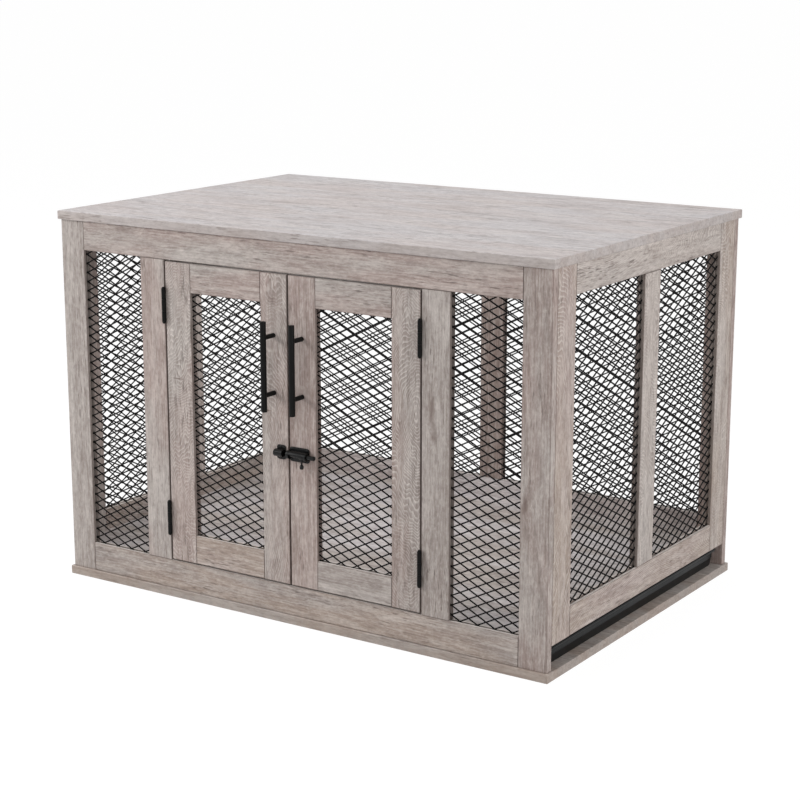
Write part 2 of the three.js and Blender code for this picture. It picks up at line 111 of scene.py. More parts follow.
# --- Studio ---
studio = {
    "cameraAt": (1.8357, -2.7716, 1.0996),
    "cameraTurn": 33.533,  # degrees that the view turns to the left of +Y
    "cameraTilt": 13.194,  # degrees down
    "lens": 86.35,
    "sensor": 36,
    "clip": (0.05, 300),
    "floorColor": (0.86, 0.855, 0.85, 1),
    "floorGlow": 0.85,  # share of plain white that the camera sees on the floor
    "floorWhite": 1.095,
    "skyLight": 0.48,
    "floorReach": 60.0,
    "white": (1, 1, 1, 1),
}
lamps = {
    "key": {"at": (-2.9, -2.1, 2.1), "toward": (0, 0, 0.35), "size": (1.4, 1.4), "power": 74, "spread": 180},
    "side": {"at": (3.6, -0.8, 1.6), "toward": (0, 0, 0.35), "size": (2.0, 2.0), "power": 48, "spread": 180},
    "top": {"at": (-0.3, 0.2, 3.4), "toward": (0, 0, 0.6), "size": (2.0, 2.0), "power": 21, "spread": 180},
    "cabin": {"at": (0, 0, 0.62), "toward": (0, 0, 0), "size": (0.92, 0.58), "power": 2.15, "spread": 160},
}


def addCamera(look):
    camera = bpy.data.objects.new("camera", bpy.data.cameras.new("camera"))
    bpy.context.scene.collection.objects.link(camera)
    camera.location = look["cameraAt"]
    camera.rotation_euler = (math.radians(90 - look["cameraTilt"]), 0, math.radians(look["cameraTurn"]))
    camera.data.sensor_width = look["sensor"]
    camera.data.lens = look["lens"]
    camera.data.clip_start, camera.data.clip_end = look["clip"]
    bpy.context.scene.camera = camera


def addLamps():
    for name, look in lamps.items():
        lamp = bpy.data.objects.new(name + "Lamp", bpy.data.lights.new(name + "Lamp", "AREA"))
        bpy.context.scene.collection.objects.link(lamp)
        lamp.location = look["at"]
        lamp.rotation_euler = (Vector(look["toward"]) - lamp.location).to_track_quat("-Z", "Y").to_euler()
        lamp.visible_camera = False
        lamp.data.shape = "ELLIPSE"
        lamp.data.size, lamp.data.size_y = look["size"]
        lamp.data.energy = look["power"]
        lamp.data.spread = math.radians(look["spread"])


def addSky(look):
    world = bpy.data.worlds.new("sky")
    bpy.context.scene.world = world
    sky = Nodes(world)
    sky.tree.nodes.clear()
    light = sky.add("Background", {"Color": look["white"], "Strength": look["skyLight"]})
    shown = sky.add("Background", {"Color": look["white"], "Strength": 1.0})
    sky.mixOut("World", sky.seenRays(), light.outputs[0], shown.outputs[0])


def addFloor(look):
    reach = look["floorReach"]
    corners = [(-reach, -reach, 0), (reach, -reach, 0), (reach, reach, 0), (-reach, reach, 0)]
    mesh = bpy.data.meshes.new("studioFloor")
    mesh.from_pydata(corners, [], [(0, 1, 2, 3)])
    floor = bpy.data.objects.new("studioFloor", mesh)
    bpy.context.scene.collection.objects.link(floor)
    finish = bpy.data.materials.new("studioFloor")
    paint = Nodes(finish)
    paint.tree.nodes.clear()
    matte = paint.add("BsdfDiffuse", {"Color": look["floorColor"]})
    glow = paint.add("Emission", {"Color": look["white"], "Strength": look["floorWhite"]})
    share = paint.times(paint.seenRays(), look["floorGlow"])
    paint.mixOut("Material", share, matte.outputs[0], glow.outputs[0])
    mesh.materials.append(finish)


addCamera(studio)
addLamps()
addSky(studio)
addFloor(studio)
bpy.context.scene.view_settings.view_transform = "Standard"
print("studio: camera,", len(lamps), "lamps, floor")


# --- Finishes ---
def fromScreen(red, green, blue):
    # Screen values of 0 to 255 as the linear colour that shaders take.
    values = np.array([red, green, blue]) / 255
    linear = np.where(values <= 0.04045, values / 12.92, ((values + 0.055) / 1.055) ** 2.4)
    return (*linear.tolist(), 1)


tones = {
    "ash": fromScreen(181, 173, 168),
    "pale": fromScreen(187, 177, 171),
    "grey": fromScreen(167, 158, 153),
    "rose": fromScreen(177, 160, 154),
    "dusk": fromScreen(165, 147, 141),
    "sand": fromScreen(174, 158, 147),
    # paler copies of the oak, painted light for the top, the floor panel and the back bottom rail
    "frost": fromScreen(204, 200, 202),
    "blush": fromScreen(200, 191, 190),
    # a darker copy of the oak, painted shade for the back mullion inside the crate
    "umber": fromScreen(136, 121, 115),
}
# How year rings cross a board. They are rings about a heart that lies beside or in the board: heart is
# its place over the board's width, lean how fast the board leaves it, spacing and wander are in metres,
# lines and dark how strongly each ring starts pale and ends dark.
figures = {
    "plain": {"heart": 0.16, "lean": 0.05, "spacing": 0.0048, "wander": 0.016, "lines": 0.20, "dark": 0.26},
    "arched": {"heart": 0.019, "lean": 0.48, "spacing": 0.0030, "wander": 0.062, "lines": 0.68, "dark": 0.38},
    "slanted": {"heart": 0.07, "lean": 0.42, "spacing": 0.0031, "wander": 0.046, "lines": 0.58, "dark": 0.36},
    "broad": {"heart": 0.3, "lean": 0.04, "spacing": 0.0110, "wander": 0.050, "lines": 0.06, "dark": 0.12},
}
boardLooks = {
    # The top's paler tones are painted light from above.
    "top_panel": ("frost", "blush", "broad"),
    "base_panel": ("ash", "sand", "plain"),
    "floor_panel": ("frost", "ash", "broad"),
    "front_left_post": ("ash", "grey", "plain"),
    "front_right_post": ("dusk", "grey", "plain"),
    "front_top_rail": ("ash", "rose", "plain"),
    "front_bottom_rail": ("grey", "sand", "plain"),
    "front_left_stile": ("rose", "ash", "plain"),
    "front_right_stile": ("ash", "grey", "plain"),
    "left_door_hinge_stile": ("ash", "rose", "arched"),
    "left_door_meeting_stile": ("grey", "rose", "slanted"),
    "left_door_top_rail": ("ash", "rose", "plain"),
    "left_door_bottom_rail": ("rose", "sand", "plain"),
    "right_door_hinge_stile": ("grey", "dusk", "arched"),
    "right_door_meeting_stile": ("dusk", "rose", "plain"),
    "right_door_top_rail": ("rose", "ash", "plain"),
    "right_door_bottom_rail": ("ash", "grey", "plain"),
    "right_front_stile": ("rose", "sand", "slanted"),
    "right_middle_stile": ("pale", "ash", "arched"),
    "right_rear_stile": ("pale", "sand", "arched"),
    "right_top_rail": ("pale", "ash", "slanted"),
    "right_bottom_rail": ("sand", "rose", "slanted"),
    # Painted shade: the back mullion takes the darker umber tone for the shade inside the crate.
    "back_mullion": ("umber", "umber", "plain"),
    # Painted light: the back bottom rail takes the paler tones of the lit top.
    "back_bottom_rail": ("frost", "blush", "plain"),
    # Painted shade: the back posts take the darker dusk tone for the shade inside the crate.
    "back_left_post": ("dusk", "grey", "plain"),
    "back_right_post": ("dusk", "rose", "plain"),
}
# Noise in the grain: changes per metre along the board and across it, step of the seed, detail, roughness.
grainFields = {
    "bend": (8, 24, 0, 2.0, 0.55),
    "jitter": (45, 130, 9, 2.0, 0.6),
    "ringPatches": (9, 30, 3, 2.0, 0.5),
    "patches": (3.2, 15, 5, 3.0, 0.6),
    "shades": (10, 46, 7, 3.0, 0.6),
    "fibres": (20, 190, 11, 5.0, 0.72),
    "wisps": (110, 210, 12, 3.0, 0.7),
    "flecks": (46, 380, 13, 2.0, 0.5),
    "fleckGroups": (7, 30, 15, 1.0, 0.5),
    "threads": (90, 1500, 17, 2.0, 0.6),
}
# Knots and cracks: place along and across from the board's middle, reach along and across, darkness.
knots = {
    "top_panel": [
        (0.184, 0.25, 0.028, 0.005, 0.4), (0.11, 0.13, 0.018, 0.004, 0.45), (0.43, 0.13, 0.05, 0.010, 0.25),
        (-0.08, -0.176, 0.012, 0.006, 0.35), (0.374, -0.121, 0.015, 0.005, 0.35),
        (-0.25, -0.03, 0.06, 0.004, 0.25),
    ],
    "front_top_rail": [(-0.35, 0.018, 0.034, 0.010, 0.5)],
    "front_left_post": [(-0.118, 0.003, 0.032, 0.005, 0.4)],
    "front_right_post": [(-0.052, -0.016, 0.024, 0.008, 0.6)],
    "front_right_stile": [
        (0.075, -0.008, 0.038, 0.009, 0.6), (0.034, -0.004, 0.020, 0.007, 0.5),
        (-0.21, 0.006, 0.03, 0.012, 0.2),
    ],
    "left_door_meeting_stile": [(0.222, -0.003, 0.019, 0.014, 0.35), (0.032, -0.017, 0.002, 0.012, 0.8)],
    "left_door_hinge_stile": [(0.062, -0.004, 0.0018, 0.018, 0.7)],
    "right_door_hinge_stile": [(0.045, -0.011, 0.005, 0.0016, 0.9)],
}
oak = {
    "ringDark": fromScreen(124, 108, 101),
    "ringPale": fromScreen(216, 208, 202),
    "fibreDark": fromScreen(108, 93, 86),
    "fibrePale": fromScreen(224, 216, 210),
    "pore": fromScreen(76, 63, 58),
    "knot": fromScreen(98, 78, 70),
    # painted shade: the tone laid along every edge and seam, also used on the sides that face an opening
    "seamShade": fromScreen(92, 78, 71),
    "band": fromScreen(158, 146, 138),
    "bandShare": 0.4,
    "fibreDepth": 0.52,
    "wispDepth": 0.30,
    "threadDepth": 0.34,
    "poreDepth": 0.62,
    "seamShadeDepth": 0.62,
    "seamShadeWidth": 0.0011,
    "bandEdge": (0.0002, 0.0004),
    # painted shade on the sides that face an opening, and a painted highlight on those of them that look up
    "sideShadeDepth": 0.62,
    "ledgeHighlight": 0.7,
    "outside": (0.4880, 0.3305),
    "knotRagged": (0.65, 1.35),
    "knotPush": (1.6, 2.8),  # how far a knot bends the rings, in its own radii, and by how many rings
    "knotCore": (0.25, 0.95),
    "roughness": 0.56,
    "gloss": 0.3,
    "grainHeight": 0.00022,
    "grainStrength": 0.35,
}


# The number of the ring that each point lies in, and how much each knot darkens it. u runs along the
# board, v over its width and t through it, from its middle. A ring is a line of equal distance from the
# heart, sqrt((v - heart)^2 + (lean * (u - centre) + wander * noise + t)^2), and each knot pushes the
# rings out by a share that falls with the distance from it.
def ringsOf(wood, grain, axes, heart, centre, field, figure, boardKnots, look):
    u, v, t = axes
    aside = wood.math("SUBTRACT", v, heart)
    leant = wood.math("MULTIPLY", wood.math("SUBTRACT", u, centre), figure["lean"])
    behind = wood.math("ADD", wood.math("MULTIPLY_ADD", field["bend"], figure["wander"], leant), t)
    reach = wood.length(wood.add("CombineXYZ", {0: aside, 1: behind}).outputs[0])
    phase = wood.math("MULTIPLY_ADD", field["jitter"], 0.75, wood.math("DIVIDE", reach, figure["spacing"]))
    pushReach, pushRings = look["knotPush"]
    hearts = []
    for atU, atV, long, wide, depth in boardKnots:
        offset = wood.add("VectorMath", {0: grain, 1: (atU, atV, 0)}, operation="SUBTRACT").outputs[0]
        away = wood.length(wood.stretch(offset, (1 / long, 1 / wide, 0)))
        away = wood.times(away, wood.ramp(field["jitter"], 0.3, 0.7, *look["knotRagged"]))
        phase = wood.math("ADD", phase, wood.ramp(away, 0.0, pushReach, pushRings, 0.0))
        hearts.append(wood.ramp(away, *look["knotCore"], depth, 0.0))
    return phase, hearts


# Tints for a board's edges, as (share, tint). Painted shade darkens the last millimetre of each face along
# every edge and seam: the edge's distance is the middle one of the distances from the board's three pairs
# of faces. The sides that face an opening or a gap get painted shade that those on the table's outside
# don't, and a painted highlight where they look up. A panel's edges carry a band of a darker tone instead.
def edgeTints(wood, isPanel, place, inside, look):
    a, b, c = inside
    if isPanel:
        rim = wood.ramp(wood.math("MINIMUM", a, b), *look["bandEdge"], look["bandShare"], 0.0)
        return [(rim, look["band"])]
    inner = wood.math("MINIMUM", wood.math("MAXIMUM", a, b), c)
    edge = wood.math("MAXIMUM", wood.math("MINIMUM", a, b), inner)
    # Painted shade over the last millimetre of each face, along every edge and seam.
    seamShade = wood.ramp(edge, 0.0003, look["seamShadeWidth"], look["seamShadeDepth"], 0.0)
    x, y, _ = wood.add("SeparateXYZ", {0: place}).outputs
    limits = zip((x, y), look["outside"])
    past = [wood.math("SUBTRACT", wood.math("ABSOLUTE", at), limit) for at, limit in limits]
    deep = wood.math("SUBTRACT", wood.math("MINIMUM", a, b), 0.0005)
    side = wood.ramp(wood.math("MAXIMUM", wood.math("MAXIMUM", *past), deep), -0.0003, 0.0, 1.0, 0.0)
    up = wood.add("SeparateXYZ", {0: wood.add("NewGeometry").outputs["Normal"]}).outputs[2]
    # Painted shade on edges and seams, painted shade on sides facing an opening that look sideways or down,
    # and a painted highlight on those that look up.
    return [
        (seamShade, look["seamShade"]),
        (wood.times(side, wood.ramp(up, 0.2, 0.6, look["sideShadeDepth"], 0.0)), look["seamShade"]),
        (wood.times(side, wood.ramp(up, 0.6, 0.9, 0.0, look["ledgeHighlight"])), look["fibrePale"]),
    ]


# Weathered oak: two tones in patches, and over them tints for shades, rings, fibres, wisps, threads,
# pores and knots, and at the edges a panel's band or a board's painted shade and highlights, each blended in
# by its share.
def woodFinish(name, low, high, seed, toneNames, figure, boardKnots, look):
    size = high - low
    half = size / 2
    along, thin = int(np.argmax(size)), int(np.argmin(size))
    order = (along, 3 - along - thin, thin)
    draw = np.random.default_rng(seed)
    finish = bpy.data.materials.new(name)
    wood = Nodes(finish)
    place = wood.add("TexCoord").outputs["Object"]
    centred = wood.add("Mapping", {"Vector": place, "Location": tuple(-(low + high) / 2)}).outputs[0]
    sides = wood.add("SeparateXYZ", {0: centred}).outputs
    axes = [sides[axis] for axis in order]
    grain = wood.add("CombineXYZ", dict(enumerate(axes))).outputs[0]
    w = float(draw.uniform(0, 60))
    heart = float(figure["heart"] * draw.choice((-1, 1)))
    centre = float(draw.uniform(-0.5, 0.5) * half[along])
    field = {
        part: wood.noise(wood.stretch(grain, (lengthwise, crosswise, crosswise)), w + step, detail, rough)
        for part, (lengthwise, crosswise, step, detail, rough) in grainFields.items()
    }

    phase, hearts = ringsOf(wood, grain, axes, heart, centre, field, figure, boardKnots, look)
    rise = wood.math("FRACT", phase)
    late = wood.math("POWER", rise, 2.0)
    paleLine = wood.times(wood.ramp(rise, 0.0, 0.10), wood.ramp(rise, 0.18, 0.42, 1.0, 0.0))
    shown = wood.ramp(field["ringPatches"], 0.38, 0.60, 0.32, 1.0)
    fleckShare = wood.ramp(field["fleckGroups"], 0.42, 0.62, 0.12, 1.0)
    pores = wood.times(wood.ramp(field["flecks"], 0.57, 0.67), fleckShare)
    tints = [
        (wood.ramp(field["shades"], 0.30, 0.50, 0.30, 0.0), look["ringDark"]),
        (wood.ramp(field["shades"], 0.50, 0.72, 0.0, 0.34), look["ringPale"]),
        (wood.times(late, shown, figure["dark"]), look["ringDark"]),
        (wood.times(paleLine, shown, figure["lines"]), look["ringPale"]),
        (wood.ramp(field["fibres"], 0.28, 0.50, look["fibreDepth"], 0.0), look["fibreDark"]),
        (wood.ramp(field["fibres"], 0.50, 0.74, 0.0, look["fibreDepth"]), look["fibrePale"]),
        (wood.ramp(field["wisps"], 0.30, 0.50, look["wispDepth"], 0.0), look["fibreDark"]),
        (wood.ramp(field["wisps"], 0.52, 0.72, 0.0, look["wispDepth"]), look["fibrePale"]),
        (wood.ramp(field["threads"], 0.30, 0.52, look["threadDepth"], 0.0), look["fibreDark"]),
        (wood.times(pores, look["poreDepth"]), look["pore"]),
    ]
    tints += [(share, look["knot"]) for share in hearts]
    inside = [
        wood.math("SUBTRACT", float(half[axis]), wood.math("ABSOLUTE", at)) for axis, at in zip(order, axes)
    ]
    tints += edgeTints(wood, name.endswith("panelOak"), place, inside, look)
    first, second = (tones[tone] for tone in toneNames)
    color = wood.blend(wood.ramp(field["patches"], 0.42, 0.58), first, second)
    for share, tint in tints:
        color = wood.blend(share, color, tint)

    shader = wood.tree.nodes["Principled BSDF"].inputs
    wood.join(color, shader["Base Color"])
    rough, smooth = look["roughness"] + 0.08, look["roughness"] - 0.06
    wood.join(wood.ramp(field["fibres"], 0.3, 0.7, rough, smooth), shader["Roughness"])
    shader["Specular IOR Level"].default_value = look["gloss"]
    height = wood.math("SUBTRACT", wood.times(field["fibres"], 0.5), pores)
    height = wood.math("MULTIPLY_ADD", field["threads"], 0.3, height)
    height = wood.math("MULTIPLY_ADD", paleLine, 0.2, height)
    relief = {"Height": height, "Strength": look["grainStrength"], "Distance": look["grainHeight"]}
    bump = wood.add("Bump", relief)
    wood.join(bump.outputs[0], shader["Normal"])
    return finish


coatings = {
    "wireCoat": {
        "color": (0.0065, 0.006, 0.006, 1), "roughness": 0.46,
        "gloss": 0.07, "grit": 900, "gritHeight": 0.00004,
    },
    "hardwareCoat": {
        "color": (0.0055, 0.0055, 0.0055, 1), "roughness": 0.34,
        "gloss": 0.1, "grit": 1400, "gritHeight": 0.00003,
    },
    "latchCoat": {
        "color": (0.0045, 0.0045, 0.0045, 1), "roughness": 0.17,
        "gloss": 0.22, "grit": 1800, "gritHeight": 0.00002,
    },
    "trayPlastic": {
        "color": (0.0045, 0.0055, 0.006, 1), "roughness": 0.32,
        "gloss": 0.12, "grit": 700, "gritHeight": 0.00006,
    },
    "screwSteel": {
        "color": (0.012, 0.0118, 0.0115, 1), "roughness": 0.3,
        "gloss": 0.25, "grit": 1600, "gritHeight": 0.00002,
    },
}


# A smooth dark coat with a fine grit, a little uneven in its gloss.
def coatFinish(name, look):
    finish = bpy.data.materials.new(name)
    coat = Nodes(finish)
    place = coat.add("TexCoord").outputs["Object"]
    grit = coat.noise(coat.stretch(place, (look["grit"],) * 3), 2.0, 2.0, 0.6)
    smears = coat.noise(coat.stretch(place, (18, 18, 18)), 5.0, 3.0, 0.6)
    shader = coat.tree.nodes["Principled BSDF"].inputs
    shader["Specular IOR Level"].default_value = look["gloss"]
    dusty = tuple(min(1, c * 2 + 0.003) for c in look["color"][:3]) + (1,)
    dust = coat.ramp(smears, 0.45, 0.75, 0.0, 0.35)
    coat.join(coat.blend(dust, look["color"], dusty), shader["Base Color"])
    gloss = coat.ramp(smears, 0.3, 0.7, look["roughness"] - 0.05, look["roughness"] + 0.1)
    coat.join(gloss, shader["Roughness"])
    bump = coat.add("Bump", {"Height": grit, "Strength": 0.4, "Distance": look["gritHeight"]})
    coat.join(bump.outputs[0], shader["Normal"])
    return finish


finishes = {name: coatFinish(name, look) for name, look in coatings.items()}
fittings = ("mesh", "leaf", "handle", "latch", "tray")
boards = sorted(node for node in frame["nodes"] if not any(word in node for word in fittings))
spareLooks = [
    ("ash", "rose", "plain"), ("grey", "sand", "slanted"),
    ("rose", "ash", "plain"), ("pale", "grey", "arched"),
]
firstSeed = 11
for seed, node in enumerate(boards):
    low, high = (np.array(corner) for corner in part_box(node))
    *toneNames, figure = boardLooks.get(node, spareLooks[seed % len(spareLooks)])
    chosen = (toneNames, figures[figure], knots.get(node, []), oak)
    finish = woodFinish(node + "Oak", low, high, seed + firstSeed, *chosen)
    board = frame["nodes"][node]
    board.data.materials.clear()
    board.data.materials.append(finish)
print("finishes:", len(boards), "boards,", len(finishes), "coats")


# --- Surfaces ---
# Quads between the neighbours of an index grid, over its last two axes.
def quadsOf(index, loopRows=False, loopColumns=False):
    if loopRows:
        index = np.concatenate([index, index[..., :1, :]], axis=-2)
    if loopColumns:
        index = np.concatenate([index, index[..., :1]], axis=-1)
    corners = [index[..., :-1, :-1], index[..., :-1, 1:], index[..., 1:, 1:], index[..., 1:, :-1]]
    return np.stack(corners, axis=-1).reshape(-1, 4)


# One piece from several grids of points, each (points, closed along rows, closed along columns).
def makePiece(name, grids, finish, sharp=35):
    points, quads, start = [], [], 0
    for grid, loopRows, loopColumns in grids:
        count = grid.size // 3
        index = np.arange(count).reshape(grid.shape[:-1]) + start
        quads.append(quadsOf(index, loopRows, loopColumns))
        points.append(grid.reshape(-1, 3))
        start += count
    points, quads = np.concatenate(points), np.concatenate(quads)
    mesh = bpy.data.meshes.new(name)
    mesh.vertices.add(len(points))
    mesh.vertices.foreach_set("co", points.astype(np.float32).ravel())
    mesh.loops.add(quads.size)
    mesh.loops.foreach_set("vertex_index", quads.astype(np.int32).ravel())
    mesh.polygons.add(len(quads))
    mesh.polygons.foreach_set("loop_start", np.arange(0, quads.size, 4, dtype=np.int32))
    mesh.update(calc_edges=True)
    work = bmesh.new()
    work.from_mesh(mesh)
    bmesh.ops.remove_doubles(work, verts=work.verts, dist=1e-6)
    bmesh.ops.dissolve_degenerate(work, edges=work.edges, dist=1e-7)
    bmesh.ops.recalc_face_normals(work, faces=work.faces)
    work.to_mesh(mesh)
    work.free()
    mesh.polygons.foreach_set("use_smooth", np.ones(len(mesh.polygons), bool))
    mesh.set_sharp_from_angle(angle=math.radians(sharp))
    mesh.materials.append(finish)
    piece = bpy.data.objects.new(name, mesh)
    bpy.context.scene.collection.objects.link(piece)
    return piece


# A profile of (radius, height) turned about an axis through centre: the radius times the cosine and sine
# of the angle, at the profile's height.
def turned(profile, centre, axis, segments=32):
    radius, height = np.array(profile, float).T
    angle = np.arange(segments) * 2 * np.pi / segments
    first, second = (axis + 1) % 3, (axis + 2) % 3
    points = np.zeros((len(radius), segments, 3))
    points[..., axis] = height[:, None]
    points[..., first] = radius[:, None] * np.cos(angle)
    points[..., second] = radius[:, None] * np.sin(angle)
    return points + np.array(centre), False, True


# A turned profile that also closes on itself, round a bore.
def tube(profile, centre, axis, segments):
    points, _, _ = turned(profile, centre, axis, segments)
    return points, True, True


# A rod's profile with both ends rounded by ease: the radius less ease, plus ease times the sine of the turn.
def rodProfile(radius, length, ease, steps=4):
    turn = np.linspace(0, np.pi / 2, steps)
    lower = np.stack([radius - ease + ease * np.sin(turn), ease - ease * np.cos(turn)], axis=1)
    upper = np.stack([lower[::-1, 0], length - lower[::-1, 1]], axis=1)
    return np.concatenate([[(0, 0)], lower, upper, [(0, length)]])


# The points of a rounded rectangle: each corner's circle, moved out to its corner.
def roundedLoop(halfWidth, halfHeight, radius, count=48):
    angle = (np.arange(count) + 0.5) * 2 * np.pi / count
    wide, tall = np.cos(angle), np.sin(angle)
    return np.stack([
        np.sign(wide) * (halfWidth - radius) + radius * wide,
        np.sign(tall) * (halfHeight - radius) + radius * tall,
    ], axis=1)


# A flat plate with eased edges: a rounded rectangle in each layer, and a point in the middle of the first
# and the last. axes gives its width, height and thickness directions.
def plateGrid(halfWidth, halfHeight, corner, thickness, ease, centre, axes, count=32):
    layers = [(ease, 0), (0, ease), (0, thickness - ease), (ease, thickness)]
    points = np.zeros((len(layers) + 2, count, 3))
    for row, (inset, height) in enumerate(layers, 1):
        points[row, :, axes[:2]] = roundedLoop(halfWidth - inset, halfHeight - inset, corner - inset, count).T
        points[row, :, axes[2]] = height - thickness / 2
    points[0, :, axes[2]] = -thickness / 2
    points[-1, :, axes[2]] = thickness / 2
    return points + np.array(centre), False, True


# A flat bar bent along a path in the y-z plane: its width along x and its wall square to the path, so a
# point is the path's point plus the section's height times the path's normal.
def bentGrid(path, width, wall, middleX, ease=0.0002):
    path = np.array(path, float)
    along = np.gradient(path, axis=0)
    along /= np.linalg.norm(along, axis=1, keepdims=True)
    out = np.stack([along[:, 1], -along[:, 0]], axis=1)
    half, thick = width / 2, wall / 2
    section = np.array([
        (-half + ease, -thick), (half - ease, -thick), (half, -thick + ease), (half, thick - ease),
        (half - ease, thick), (-half + ease, thick), (-half, thick - ease), (-half, -thick + ease),
    ])
    points = np.zeros((len(path) + 2, len(section), 3))
    points[1:-1, :, 0] = middleX + section[:, 0]
    points[1:-1, :, 1:] = path[:, None, :] + section[None, :, 1, None] * out[:, None, :]
    points[0] = (middleX, *path[0])
    points[-1] = (middleX, *path[-1])
    return points, False, True


# A screw head with a cross recess: its height is a dome of the radius, less the cross where it is cut.
def screwGrid(radius, dome, centre, axis, side, turn=0.4):
    share = np.array([0, 0.1, 0.2, 0.3, 0.42, 0.55, 0.62, 0.75, 0.88, 0.96, 1, 1, 0])
    angle = np.arange(32) * 2 * np.pi / 32
    wide = share[:, None] * np.cos(angle + turn)
    tall = share[:, None] * np.sin(angle + turn)
    height = dome * np.sqrt(np.clip(1.02 - share[:, None] ** 2, 0, 1)) + 0 * wide
    narrow = np.minimum(np.abs(wide), np.abs(tall))
    cut = np.clip((0.17 - narrow) / 0.08, 0, 1) * np.clip((0.62 - np.hypot(wide, tall)) / 0.12, 0, 1)
    height = height - cut * dome * 0.9
    height[-2:] = -dome * 0.5
    first, second = (axis + 1) % 3, (axis + 2) % 3
    points = np.zeros((*wide.shape, 3))
    points[..., first] = radius * wide
    points[..., second] = radius * tall
    points[..., axis] = side * height
    return points + np.array(centre), False, True


# Hangs a piece on the body that it rides on and hides the nodes that it stands for.
# slotName is not used.
def settle(piece, body, slotName, *replaced):
    if replaced:
        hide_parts(*replaced)
    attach(piece, body)


# --- Wire mesh ---
wire = {
    "diamondWidth": 0.032,
    "diamondHeight": 0.016,
    "radius": 0.00125,
    "layer": 0.0011,  # middle of each layer from the pane's middle
    "edge": 0.002,  # wires end this far inside the groove's strip
    "shortest": 0.006,
    "sides": 8,
}


# Rising and falling straight wires. Wire n crosses the middle at n diamonds, and both its ends are clipped
# to the pane, so a wire is a function of its number, the end and the angle round it.
def wireMesh(node, look):
    low, high = (np.array(corner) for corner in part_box(node))
    middle, half = (low + high) / 2, (high - low) / 2
    along = 0 if half[0] > half[1] else 1
    thin = 1 - along
    outward = np.sign(middle[thin])
    reach, rise = half[along] - look["edge"], half[2] - look["edge"]
    slope = look["diamondHeight"] / look["diamondWidth"]
    count = int(np.ceil((rise + slope * reach) / look["diamondHeight"]))
    offset = np.arange(-count, count + 1) * look["diamondHeight"]
    start = np.maximum(-reach, (-rise - offset) / slope)
    end = np.minimum(reach, (rise - offset) / slope)
    kept = end - start > look["shortest"]
    offset, ends = offset[kept], np.stack([start[kept], end[kept]], axis=1)
    grids = []
    angle = np.arange(look["sides"]) * 2 * np.pi / look["sides"] + np.pi / look["sides"]
    direction = np.array([1, slope]) / math.hypot(1, slope)
    for sign in (1, -1):
        points = np.zeros((len(offset), 4, look["sides"], 3))
        spread = np.array([0, 1, 1, 0])[None, :, None] * look["radius"]
        stops = ends[:, [0, 0, 1, 1], None]
        flat = spread * np.cos(angle)
        run = stops - flat * direction[1]
        lift = stops * slope + offset[:, None, None] + flat * direction[0]
        points[..., along] = middle[along] + sign * run
        points[..., 2] = middle[2] + lift
        points[..., thin] = middle[thin] + outward * sign * look["layer"] + spread * np.sin(angle)
        grids.append((points, False, True))
    piece = makePiece(node + "Wire", grids, finishes["wireCoat"], 50)
    settle(piece, bodyOf[node], "wire", node)


panes = sorted(node for node in frame["nodes"] if node.endswith("_mesh"))
for node in panes:
    wireMesh(node, wire)
print("mesh:", len(panes), "panes")

# --- Handles ---
handle = {
    "barRadius": 0.005,
    "barEase": 0.0007,
    "postRadius": 0.004,
    "postSpacing": 0.096,
    "screwRadius": 0.0042,
    "screwDome": 0.0014,
}


# A turned bar on two turned posts, with a screw head behind each post on the inside of the door.
def addHandle(side, look):
    node = side + "_handle"
    low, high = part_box(node)
    x, z = (low.x + high.x) / 2, (low.z + high.z) / 2
    barY = low.y + look["barRadius"]
    length = high.z - low.z
    grids = [turned(rodProfile(look["barRadius"], length, look["barEase"]), (x, barY, low.z), 2, 48)]
    screws = []
    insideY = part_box(side + "_door_meeting_stile")[1].y
    for end in (-1, 1):
        at = z + end * look["postSpacing"] / 2
        post = [(0, 0), (look["postRadius"], 0), (look["postRadius"], high.y - barY), (0, high.y - barY)]
        grids.append(turned(post, (x, barY, at), 1, 32))
        screws.append(screwGrid(look["screwRadius"], look["screwDome"], (x, insideY, at), 1, 1, 0.4 + end))
    settle(makePiece(side + "HandleBar", grids, finishes["hardwareCoat"]), side + "_door", "hardware", node)
    settle(makePiece(side + "HandleScrews", screws, finishes["screwSteel"]), side + "_door", "hardware")


for side in ("left", "right"):
    addHandle(side, handle)
print("handles: 2")

# --- Hinges ---
hinge = {
    "knuckleRadius": 0.0035,
    "pinRadius": 0.0015,
    "endKnuckle": 0.019,
    "knuckleGap": 0.0003,
    "finialHeight": 0.003,
    "leafThickness": 0.0008,
    "leafGap": 0.0006,
    "leafDepth": 0.0135,
    "leafCorner": 0.0025,
    "leafEase": 0.0001,
    "tabStart": 0.0022,  # from the pin's axis
    "tabLap": 0.0004,
    "tabGap": 0.0002,
    "screwRadius": 0.0027,
    "screwDome": 0.0001,
    "screwPlaces": (-0.36, 0.0, 0.36),  # shares of the leaf's length
    "screwAside": 0.002,
    "knuckleEase": 0.00035,
}


# A tube's profile of (radius, height) from its bore out, up and back to its bore.
def knuckleProfile(low, high, look, bore):
    radius, ease = look["knuckleRadius"], look["knuckleEase"]
    outside = [(radius - ease, low), (radius, low + ease), (radius, high - ease), (radius - ease, high)]
    return [(bore, low), *outside, (bore, high)]


# A bud: its radius is the root of 1 less the square of how far the height is from a fifth of the way up.
def finialProfile(look):
    share = np.linspace(0, 1, 9)
    radius = look["knuckleRadius"] * 0.8 * np.sqrt(np.clip(1 - (share * 1.25 - 0.25) ** 2, 0, 1))
    return np.stack([radius, share * look["finialHeight"]], axis=1)


